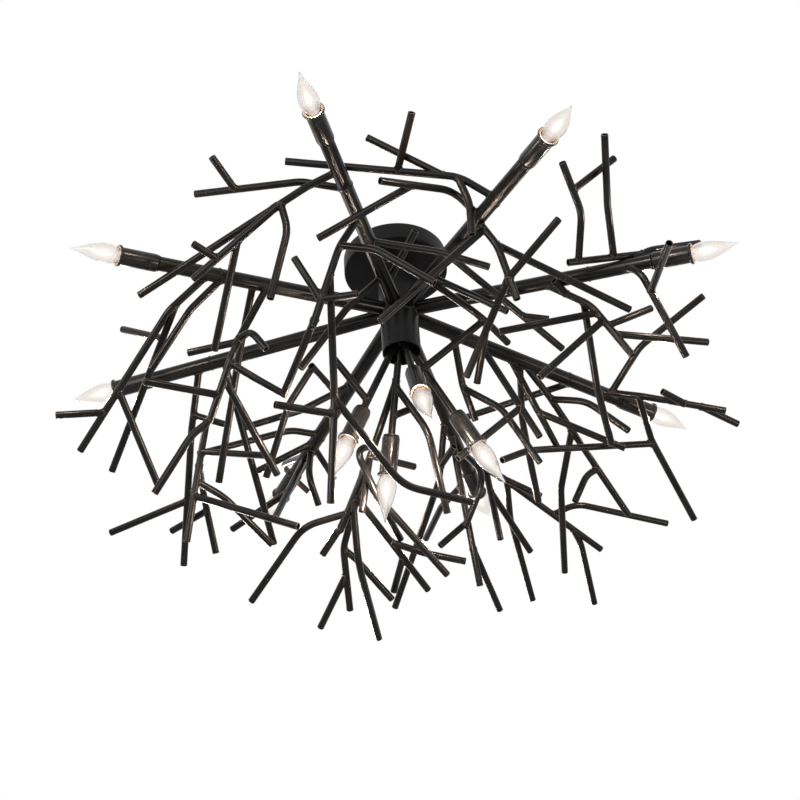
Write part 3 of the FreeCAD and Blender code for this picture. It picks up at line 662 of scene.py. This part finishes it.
def glass_with_painted_edge_shade(name, middle, edge):
    """Glass with painted grey shade where it is seen edge on, that lets the light of lamps
    through.
    """
    material = bpy.data.materials.new(name)
    material.use_nodes = True
    nodes, link = material.node_tree.nodes, material.node_tree.links.new
    shader = nodes["Principled BSDF"]
    shader.inputs["Roughness"].default_value = 0.0
    shader.inputs["IOR"].default_value = THIN_GLASS_IOR
    shader.inputs["Transmission Weight"].default_value = 1.0
    edge_shade_mask = nodes.new("ShaderNodeLayerWeight")
    edge_shade_mask.inputs["Blend"].default_value = PAINTED_EDGE_SHADE_BLEND
    tint = nodes.new("ShaderNodeMix")
    tint.data_type = "RGBA"
    tint.inputs["A"].default_value = (*middle, 1)
    tint.inputs["B"].default_value = (*edge, 1)
    link(edge_shade_mask.outputs["Facing"], tint.inputs["Factor"])
    link(tint.outputs["Result"], shader.inputs["Base Color"])
    path = nodes.new("ShaderNodeLightPath")
    through = nodes.new("ShaderNodeBsdfTransparent")
    choose = nodes.new("ShaderNodeMixShader")
    link(path.outputs["Is Shadow Ray"], choose.inputs[0])
    link(shader.outputs["BSDF"], choose.inputs[1])
    link(through.outputs["BSDF"], choose.inputs[2])
    link(choose.outputs["Shader"], nodes["Material Output"].inputs["Surface"])
    return material


# the second colour of each glass is painted shade at its edges
glass = glass_with_painted_edge_shade("flame_glass", (0.99, 0.98, 0.97), (0.66, 0.62, 0.59))
stem_glass = glass_with_painted_edge_shade("stem_glass", (0.86, 0.78, 0.70), (0.42, 0.33, 0.26))
print("glasses:", glass.name, stem_glass.name)


# %% Glare and filament
GLOW_CLOUDS = 60
FILAMENT_STRENGTH = 6.0


def glowing(name, cool, warm, strength, cover=1.0):
    """A surface that shines between two colours and hides a share of what is behind it."""
    material = bpy.data.materials.new(name)
    material.use_nodes = True
    nodes, link = material.node_tree.nodes, material.node_tree.links.new
    shader = nodes["Principled BSDF"]
    where = nodes.new("ShaderNodeTexCoord")
    noise = nodes.new("ShaderNodeTexNoise")
    noise.inputs["Scale"].default_value = GLOW_CLOUDS
    tint = nodes.new("ShaderNodeMix")
    tint.data_type = "RGBA"
    tint.inputs["A"].default_value = (*cool, 1)
    tint.inputs["B"].default_value = (*warm, 1)
    link(where.outputs["Object"], noise.inputs["Vector"])
    link(noise.outputs["Fac"], tint.inputs["Factor"])
    link(tint.outputs["Result"], shader.inputs["Emission Color"])
    shader.inputs["Base Color"].default_value = (0, 0, 0, 1)
    shader.inputs["Specular IOR Level"].default_value = 0.0
    shader.inputs["Roughness"].default_value = 1.0
    shader.inputs["Emission Strength"].default_value = strength
    shader.inputs["Alpha"].default_value = cover
    material.cycles.emission_sampling = "NONE"
    return material


filament = glowing("filament", (1.0, 0.86, 0.66), (1.0, 0.95, 0.85), FILAMENT_STRENGTH)
# colour at the cool and warm end, share of what is behind that it hides, share of the glass
GLARE = (
    ((0.88, 0.84, 0.81), (0.87, 0.80, 0.74), 0.34, 0.93),
    ((0.94, 0.90, 0.87), (0.94, 0.87, 0.81), 0.34, 0.74),
    ((1.10, 1.06, 1.02), (1.10, 1.02, 0.95), 0.50, 0.54),
    ((1.90, 1.85, 1.78), (1.90, 1.80, 1.70), 0.90, 0.34),
)
glare = [
    glowing("glare_%d" % number, cool, warm, 1.0, cover)
    for number, (cool, warm, cover, _) in enumerate(GLARE, start=1)
]
print("shells of glare:", len(glare))

# %% [markdown]
# ## Arms and rods
#
# Straight tubes, coped to the hub and welded there. Each arm has a narrow collar near the
# lamp, where a longer tube would be joined. Their CAD nodes are the same tubes with flats,
# so these smooth ones take their places.

# %% Arms and rods
# how far along the arm the collar sits, its width, and how far it stands proud
COLLAR_AT, COLLAR_WIDE, COLLAR_PROUD = 262.0, 3.0, 0.9
# across the collar's width, how far it has risen
COLLAR_RISE = ((0, 0.0), (0.12, 0.75), (0.35, 1.0), (0.65, 1.0), (0.88, 0.75), (1, 0.0))
COLLAR_SUNK = 0.1
ARM_SIDES, ARM_SEAM_STEPS = 32, 40
# how far an arm's end reaches into the hub's wall
ARM_SUNK = 1.5
TUBE_FINISHES = (coat, cut_rim, painted_shade_bore, weld)
chance = random.Random(4)


def along(line, distance):
    return line["start"] + line["out"] * distance


def add_collar(skin, line):
    """A rounded band that stands proud of a tube."""
    rings = []
    for share, rise in COLLAR_RISE:
        centre = along(line, COLLAR_AT + COLLAR_WIDE * (share - 0.5))
        radius = line["radius"] - COLLAR_SUNK + COLLAR_PROUD * rise
        rings.append(skin.ring(centre, line["side"], line["up"], radius, ARM_SIDES))
    skin.bands(rings, COAT)


for name, line in lines.items():
    skin = Skin()
    on_hub = name.startswith("arm")
    first = math.sqrt(HUB_RADIUS**2 - ARM_RADIUS**2) - ARM_SUNK if on_hub else 0.0
    wall = ARM_WALL if on_hub else TWIG_WALL
    path = [along(line, first), along(line, line["bare"])]
    add_pipe(skin, path, line["radius"], wall, ARM_SIDES)
    if on_hub:
        add_collar(skin, line)
        across = (line["out"], line["side"], line["up"])
        seam = saddle(line["start"], UP, HUB_RADIUS, *across, line["radius"], ARM_SEAM_STEPS)
        add_bead(skin, seam, ARM_BEAD_RADIUS, chance)
    tube = skin.build(name + "_tube", TUBE_FINISHES)
    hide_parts(name)
    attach(tube, "fixture")
print("tubes:", len(lines))

# %% [markdown]
# ## Branches
#
# Every row of the schedule becomes one hollow tube with a bead where it is welded on. The
# tubes that one arm or rod bears are kept together, as they are in the CAD model.


# %% Branches
TWIG_SEAM_STEPS = 22
# a root is sunk by this share of its bearer's radius, or of its own first straight
SUNK_IN_BEARER, SUNK_OF_STRAIGHT = 0.55, 0.4


def spot(path, percent):
    """The point the given percent of the way along a path."""
    left = sum((b - a).length for a, b in zip(path, path[1:])) * percent / 100.0
    for a, b in zip(path, path[1:]):
        run = (b - a).length
        if left <= run or b is path[-1]:
            return a + (b - a) * (left / run)
        left -= run


def nearest(path, point):
    """The point of a path that is nearest to a given one, and the direction there."""
    best = None
    for a, b in zip(path, path[1:]):
        run = b - a
        share = min(max((point - a).dot(run) / run.dot(run), 0.0), 1.0)
        found = a + run * share
        gap = (found - point).length
        if best is None or gap < best[0]:
            best = (gap, found, run.normalized())
    return best[1], best[2]


corners = {name: [line["start"], along(line, line["bare"])] for name, line in lines.items()}
smooth_paths = dict(corners)
owners = {name: name for name in lines}
radii = {name: line["radius"] for name, line in lines.items()}
twig_skins = {}
for name, parent, percent, points in BRANCHES:
    owner = owners[parent]
    line = lines[owner]
    root = spot(corners[parent], percent)
    corners[name] = [root]
    for o, s, u in points:
        corners[name].append(root + line["out"] * o + line["side"] * s + line["up"] * u)
    start, axis = nearest(smooth_paths[parent], root)
    path = bent([start] + corners[name][1:], TWIG_BEND)
    owners[name], smooth_paths[name], radii[name] = owner, path, TWIG_RADIUS
    out = (path[1] - path[0]).normalized()
    straight = (path[1] - path[0]).length
    sunk = min(SUNK_IN_BEARER * radii[parent], SUNK_OF_STRAIGHT * straight)
    skin = twig_skins.setdefault(owner, Skin())
    add_pipe(skin, [start + out * sunk] + path[1:], TWIG_RADIUS, TWIG_WALL)
    side = out.orthogonal().normalized()
    across = (out, side, out.cross(side))
    seam = saddle(start, axis, radii[parent], *across, TWIG_RADIUS, TWIG_SEAM_STEPS)
    add_bead(skin, seam, BEAD_RADIUS, chance)
for owner, skin in twig_skins.items():
    twigs = skin.build(owner + "_twigs", TUBE_FINISHES)
    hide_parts(owner + "_branches")
    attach(twigs, "fixture")
print("branch groups:", len(twig_skins), "faces:", sum(len(s.faces) for s in twig_skins.values()))

# %% [markdown]
# ## Turned pieces
#
# Canopy, hub, sleeves, sockets and bulbs are all round, so they are turned from an outline
# of (radius, height) corners. A corner can be eased with a small radius, as any pressed or
# turned metal edge is.


# %% Turning an outline
TURNED_SIDES = 48
# a corner on the axis keeps a tiny ring, so that every face stays a quad
AXIS_RADIUS = 0.02
# easing takes up to this share of each straight beside a corner
EASE_SHARE, EASE_STEPS = 0.45, 3


def turned(name, outline, materials, slots=None, sides=TURNED_SIDES, closed=False, sharp=35):
    """A piece turned about its own Z axis, in millimetres, built at the origin."""
    skin = Skin()
    rings = []
    for radius, height in outline:
        centre = Vector((0, 0, height))
        rings.append(skin.ring(centre, EAST, NORTH, max(radius, AXIS_RADIUS), sides))
    pairs = list(zip(rings, rings[1:])) + ([(rings[-1], rings[0])] if closed else [])
    for i, (near, far) in enumerate(pairs):
        skin.band(near, far, slots[i] if slots else 0)
    if not closed:
        skin.cap(rings[0], slots[0] if slots else 0, flip=True)
        skin.cap(rings[-1], slots[-1] if slots else 0)
    return skin.build(name, materials, sharp)


def eased(outline, radius):
    """The outline with its inner corners rounded by up to the given radius."""
    result = [outline[0]]
    for before, corner, after in zip(outline, outline[1:], outline[2:]):
        p, q, r = Vector(before), Vector(corner), Vector(after)
        reach = min(radius, EASE_SHARE * (p - q).length, EASE_SHARE * (r - q).length)
        first, last = q + (p - q).normalized() * reach, q + (r - q).normalized() * reach
        for i in range(EASE_STEPS + 1):
            s = i / EASE_STEPS
            result.append(tuple(first * (1 - s) ** 2 + q * (2 * s * (1 - s)) + last * s**2))
    result.append(outline[-1])
    return result


def place(thing, start, out):
    """Stands a turned piece at a point in millimetres, with its axis along a direction."""
    turn = out.to_track_quat("Z", "Y").to_matrix().to_4x4()
    thing.matrix_world = Matrix.Translation(start * MM) @ turn


print("turned pieces have", TURNED_SIDES, "sides")

# %% Canopy
CANOPY_CORNER, CANOPY_EASE, CANOPY_SIDES = 2.0, 0.9, 96
canopy_outline = [
    (NIPPLE_HOLE, -CANOPY_DEPTH),
    (CANOPY_RADIUS - CANOPY_WALL, -CANOPY_DEPTH),
    (CANOPY_RADIUS, -CANOPY_DEPTH + CANOPY_WALL),
    (CANOPY_RADIUS, 0),
    (CANOPY_RADIUS - CANOPY_WALL, 0),
    (CANOPY_RADIUS - CANOPY_WALL, -CANOPY_DEPTH + CANOPY_CORNER),
    (CANOPY_RADIUS - CANOPY_CORNER, -CANOPY_DEPTH + CANOPY_WALL),
    (NIPPLE_HOLE, -CANOPY_DEPTH + CANOPY_WALL),
]
canopy_outline = eased(canopy_outline, CANOPY_EASE)
canopy = turned("canopy_dish", canopy_outline, (canopy_coat,), sides=CANOPY_SIDES, closed=True)
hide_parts("canopy")
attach(canopy, "fixture")
print("canopy:", CANOPY_RADIUS * 2, "mm across")

# %% Hub pipe
HUB_EASE, HUB_SIDES = 0.5, 64
# the first faces of the eased outline, the inside of the pipe, which get painted shade
HUB_INSIDE = 5
HUB_SEAM_DROP, HUB_SEAM_STEPS = 0.6, 90
hub_outline = [
    (NIPPLE_HOLE, -HUB_TOP - HUB_TOP_THICK),
    (HUB_RADIUS - HUB_WALL, -HUB_TOP - HUB_TOP_THICK),
    (HUB_RADIUS - HUB_WALL, -HUB_MOUTH),
    (HUB_RADIUS, -HUB_MOUTH),
    (HUB_RADIUS, -HUB_TOP),
    (NIPPLE_HOLE, -HUB_TOP),
]
hub_outline = eased(hub_outline, HUB_EASE)
inside = [1 if i < HUB_INSIDE else 0 for i in range(len(hub_outline))]
hub = turned("hub_tube", hub_outline, (hub_coat, painted_shade_bore), inside, HUB_SIDES, closed=True)
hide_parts("hub_pipe")
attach(hub, "fixture")
skin = Skin()
seam = []
for i in range(HUB_SEAM_STEPS):
    a = 2 * math.pi * i / HUB_SEAM_STEPS
    x, y = HUB_RADIUS * math.cos(a), HUB_RADIUS * math.sin(a)
    seam.append(Vector((x, y, -CANOPY_DEPTH - HUB_SEAM_DROP)))
add_bead(skin, seam, HUB_BEAD_RADIUS, chance, slot=0)
hub_weld = skin.build("hub_weld", (weld,))
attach(hub_weld, "fixture")
print("hub mouth at", HUB_MOUTH, "mm under the ceiling")

# %% [markdown]
# ## Sleeves and sockets
#
# A slim sleeve covers each socket. It steps down to the arm over two narrow rings and ends
# in a rolled bead. Inside stands the socket's body, and the lip of its warm shell shows as
# a lit ring round the neck of the bulb.

# %% Sleeves
SLEEVE_OUTLINE = [
    (8.6, 0.1), (9.9, 0.0), (10.5, 0.5), (10.5, 1.5), (10.0, 1.9), (10.0, 2.5),
    (10.9, 3.0), (11.3, 3.6), (11.5, 4.6), (11.5, 50.2), (11.9, 50.7), (12.9, 51.0),
    (13.7, 51.8), (14.0, 52.9), (13.7, 54.1), (12.9, 54.9), (12.0, 55.0), (11.1, 54.7),
    (10.6, 53.9), (10.5, 52.5), (10.5, 1.2), (8.6, 1.0),
]
SHELL_OUTLINE = [
    (6.35, 17.4), (6.35, 41.5), (7.2, 42.6), (9.2, 43.4), (9.9, 52.0), (9.9, 53.3),
    (10.0, 53.6), (10.2, 53.6), (10.35, 53.3), (10.35, 43.2), (9.5, 42.4), (7.6, 41.6),
    (7.0, 40.5), (7.0, 17.4),
]
# one finish for each run between corners: a sleeve's outside, lip and bore, and a shell
# that is warm at its lip and has painted shade below it, inside and out, as the bore does
sleeve_slots = [0] * 17 + [1] * 2 + [2] * 3
shell_slots = [1] * 4 + [0] * 4 + [1] * 6
CORE_OUTLINE = [(0, 1.2), (9.8, 1.2), (9.8, 38.8), (7.1, 38.8), (7.1, 17.2), (0, 17.2)]
lamp_seats = [(name, along(line, line["bare"]), line["out"]) for name, line in lines.items()]
for kind in ("arm", "rod"):
    for name, seat, out in lamp_seats:
        if not name.startswith(kind):
            continue
        finishes = (sleeve_coat, warm_lip, painted_shade_bore)
        sleeve = turned(name + "_sleeve", SLEEVE_OUTLINE, finishes, sleeve_slots, closed=True)
        finishes = (copper, painted_shade_bore)
        shell = turned(name + "_shell", SHELL_OUTLINE, finishes, shell_slots, closed=True)
        core = turned(name + "_socket", CORE_OUTLINE, (socket_body,))
        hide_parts(kind + "_sleeves")
        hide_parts(kind + "_cores")
        for piece, slot in ((sleeve, "metal"), (shell, "socket"), (core, "socket")):
            place(piece, seat, out)
            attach(piece, "fixture")
print("sleeves:", len(lamp_seats))

# %% [markdown]
# ## Flame bulbs
#
# The glass is blown thin and drawn out to a tip that leans over a little. It is a shell
# with an inside, so light bends through it as through the real one. Inside stand a glass
# stem, two support wires and the filament, too bright to look at.

# %% Bulb outlines
GLASS_FOOT = 39.0
GLASS_OUTLINE = (
    (5.9, 0), (6.0, 3), (6.6, 7), (8.0, 12), (9.6, 16.5), (11.2, 21), (12.3, 25.5),
    (12.7, 30), (12.5, 35), (11.8, 40), (10.6, 45), (9.0, 50.5), (7.1, 56), (5.2, 61),
    (3.5, 65.5), (2.2, 69.5), (1.4, 72.8), (0.9, 75.0), (0.4, 75.9),
)
GLASS_SIDES, GLASS_WALL, GLASS_LEAST_BORE, GLASS_LIFT = 40, 0.7, 0.3, 0.3
# the last corners of the outline, where the glass is solid
GLASS_SOLID_TIP = 3
# the tip leans by so much, from one height on and over the rest of the glass
TIP_LEAN, LEAN_FROM, LEAN_OVER, LEAN_POWER = 4.0, 34, 42, 2.2
BULB_SHARP = 60


def lean(height):
    """How far the glass leans over at a height, in millimetres."""
    share = max(height - LEAN_FROM, 0) / LEAN_OVER
    return TIP_LEAN * share**LEAN_POWER


def blown_glass(name):
    """The glass with its inside, open at the foot."""
    skin = Skin()
    outer, inner = [], []
    for radius, height in GLASS_OUTLINE:
        centre = Vector((lean(height), 0, height))
        outer.append(skin.ring(centre, EAST, NORTH, radius, GLASS_SIDES))
    for radius, height in reversed(GLASS_OUTLINE[:-GLASS_SOLID_TIP]):
        centre = Vector((lean(height), 0, height + GLASS_LIFT))
        bore = max(radius - GLASS_WALL, GLASS_LEAST_BORE)
        inner.append(skin.ring(centre, EAST, NORTH, bore, GLASS_SIDES))
    skin.bands(outer)
    skin.cap(outer[-1])
    skin.cap(inner[0], flip=True)
    skin.bands(inner)
    skin.band(inner[-1], outer[0])
    return skin.build(name, (glass,), BULB_SHARP)


STEM_OUTLINE = ((3.4, 2), (3.0, 8), (2.2, 14), (1.6, 17), (0.6, 18))
STEM_SIDES = 20
# how far out and up each support wire goes
WIRE_PATH = ((1.1, 16), (2.6, 24), (3.0, 33))
WIRE_BEND, WIRE_RADIUS, WIRE_SIDES = 8, 0.22, 8
COIL_TURNS, COIL_STEPS, COIL_RADIUS, COIL_HALF = 12, 96, 0.7, 3.0
COIL_FOOT, COIL_ARCH = 30, 5
FILAMENT_RADIUS, FILAMENT_SIDES = 0.30, 6


def filament_and_stem(name):
    """The glass stem, two support wires and the coiled filament between them."""
    skin = Skin()
    stem = [skin.ring(Vector((0, 0, z)), EAST, NORTH, r, STEM_SIDES) for r, z in STEM_OUTLINE]
    skin.bar(stem, 1)
    for side in (-1, 1):
        wire = bent([Vector((side * x, 0, z)) for x, z in WIRE_PATH], WIRE_BEND)
        run = rings_along(wire)
        skin.bar([skin.ring(c, a, o, WIRE_RADIUS, WIRE_SIDES) for c, t, a, o in run], 2)
    coil = []
    for i in range(COIL_STEPS + 1):
        share = i / COIL_STEPS
        turn = 2 * math.pi * COIL_TURNS * share
        x = -COIL_HALF + 2 * COIL_HALF * share
        rise = COIL_FOOT + COIL_ARCH * math.sin(math.pi * share)
        y, z = COIL_RADIUS * math.cos(turn), rise + COIL_RADIUS * math.sin(turn)
        coil.append(Vector((x, y, z)))
    run = rings_along(coil)
    skin.bar([skin.ring(c, a, o, FILAMENT_RADIUS, FILAMENT_SIDES) for c, t, a, o in run], 0)
    return skin.build(name, (filament, stem_glass, copper), BULB_SHARP)


# the height on the glass that the shells of glare close in on
GLARE_MIDDLE = 35.0
GLARE_SIDES, GLARE_LEAST_RADIUS, GLARE_SHARP = 20, 0.1, 80


def glare_shells(name):
    """Shells of glare, one in the other, each the shape of the glass but smaller."""
    skin = Skin()
    for slot, (_, _, _, share) in enumerate(GLARE):
        rings = []
        for radius, height in GLASS_OUTLINE[1:-1]:
            z = GLARE_MIDDLE + (height - GLARE_MIDDLE) * share
            size = max(radius * share, GLARE_LEAST_RADIUS)
            rings.append(skin.ring(Vector((lean(z), 0, z)), EAST, NORTH, size, GLARE_SIDES))
        skin.bar(rings, slot)
    return skin.build(name, glare, GLARE_SHARP)


# the screw base: its contact, then five turns of thread, then its collar
THREAD_TURNS, THREAD_FOOT, THREAD_PITCH = 5, 3.2, 2.5
THREAD_ROOT, THREAD_CREST = 5.45, 5.9
BASE_SIDES, BASE_SHARP = 40, 50
BASE_OUTLINE = [(0.0, 0.0), (2.2, 0.0), (2.6, 0.6), (2.8, 1.6), (5.0, 2.6)]
for turn in range(THREAD_TURNS):
    foot = THREAD_FOOT + turn * THREAD_PITCH
    BASE_OUTLINE += [(THREAD_ROOT, foot), (THREAD_CREST, foot + 0.8)]
    BASE_OUTLINE += [(THREAD_CREST, foot + 1.3), (THREAD_ROOT, foot + 2.1)]
BASE_OUTLINE += [(THREAD_CREST, 16.6), (6.0, 19.6), (5.6, 20.0), (0.0, 20.0)]
print("bulb outlines ready; glass is", GLASS_OUTLINE[-1][1], "mm long")

# %% Twelve bulbs
BASE_FOOT = 19.0
# which way each tip leans round its own axis, in degrees, as the bulbs are screwed in
LEANS = (60, 200, 90, -60, 150, 20, 100, 180, 0, 75, 140, -100)
LAMP_WATTS, LAMP_COLOUR, LAMP_RADIUS = 1.7, (1.0, 0.80, 0.64), 0.006
bulb_light = bpy.data.lights.new("bulb_light", "POINT")
bulb_light.energy = LAMP_WATTS
bulb_light.color = LAMP_COLOUR
bulb_light.shadow_soft_size = LAMP_RADIUS
# only sampled straight, so the lamp doesn't show through the glass as a hard white disc
bulb_light.cycles.use_multiple_importance_sampling = False
for number, (name, seat, out) in enumerate(lamp_seats, start=1):
    if number == 1:
        pieces = (
            blown_glass("bulb_1_flame"),
            filament_and_stem("bulb_1_mount"),
            glare_shells("bulb_1_glare"),
            turned("bulb_1_screw", BASE_OUTLINE, (brass,), sides=BASE_SIDES, sharp=BASE_SHARP),
        )
        meshes = [piece.data for piece in pieces]
    else:
        pieces = []
        for mesh, word in zip(meshes, ("flame", "mount", "glare", "screw")):
            piece = bpy.data.objects.new("bulb_%d_%s" % (number, word), mesh)
            bpy.context.scene.collection.objects.link(piece)
            pieces.append(piece)
    spin = Matrix.Rotation(math.radians(LEANS[number - 1]), 4, "Z")
    for piece, foot in zip(pieces, (GLASS_FOOT, GLASS_FOOT, GLASS_FOOT, BASE_FOOT)):
        place(piece, seat + out * foot, out)
        piece.matrix_world = piece.matrix_world @ spin
        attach(piece, "bulb_%d" % number)
    flame, mount, glow, screw = pieces
    glow.visible_shadow = False
    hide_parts("bulb_%d_glass" % number)
    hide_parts("bulb_%d_base" % number)
    light = bpy.data.objects.new("bulb_%d_light" % number, bulb_light)
    bpy.context.scene.collection.objects.link(light)
    # it stays put when its bulb is unscrewed, lower in the glass but still inside it
    light.location = (seat + out * (GLASS_FOOT + GLARE_MIDDLE)) * MM
print("bulbs:", number)

# %% [markdown]
# ## Hidden hardware
#
# The strap, nipple, nuts, earth screw and boss keep their CAD shapes, since little of them
# shows. They get a small bevel and their own finishes.

# %% Finishes for the CAD nodes
BEVEL_WIDTH, BEVEL_SEGMENTS, BEVEL_ANGLE = 0.0003, 2, 40
KEPT = {
    "mounting_strap": zinc,
    "nipple": zinc,
    "lock_nuts": zinc,
    "ground_screw": earth_green,
    "rod_boss": coat,
}
for name, material in KEPT.items():
    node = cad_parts[name]
    node.data.materials.clear()
    node.data.materials.append(material)
    bevel = node.modifiers.new("eased_edges", "BEVEL")
    bevel.width = BEVEL_WIDTH
    bevel.segments = BEVEL_SEGMENTS
    bevel.limit_method = "ANGLE"
    bevel.angle_limit = math.radians(BEVEL_ANGLE)
print("CAD nodes kept:", len(KEPT))

# %% [markdown]
# ## The stage
#
# A plain pale floor lies well under the fixture. It is stage, not part of the object.

# %% Floor
FLOOR_DROP, FLOOR_HALF = 2.3, 6.0
floor_mesh = bpy.data.meshes.new("floor")
square = [
    Vector((FLOOR_HALF * x, FLOOR_HALF * y, -FLOOR_DROP))
    for x, y in ((-1, -1), (1, -1), (1, 1), (-1, 1))
]
floor_mesh.from_pydata(square, [], [(0, 1, 2, 3)])
floor = bpy.data.objects.new("floor", floor_mesh)
bpy.context.scene.collection.objects.link(floor)
floor_finish = finish(
    "pale_floor", (0.93, 0.93, 0.93), (0.96, 0.96, 0.96), (0.7, 0.8), 0.0,
    clouds=1.5, peel=40, bump=0.02,
)
floor_mesh.materials.append(floor_finish)
print("floor", FLOOR_DROP, "m under the ceiling")
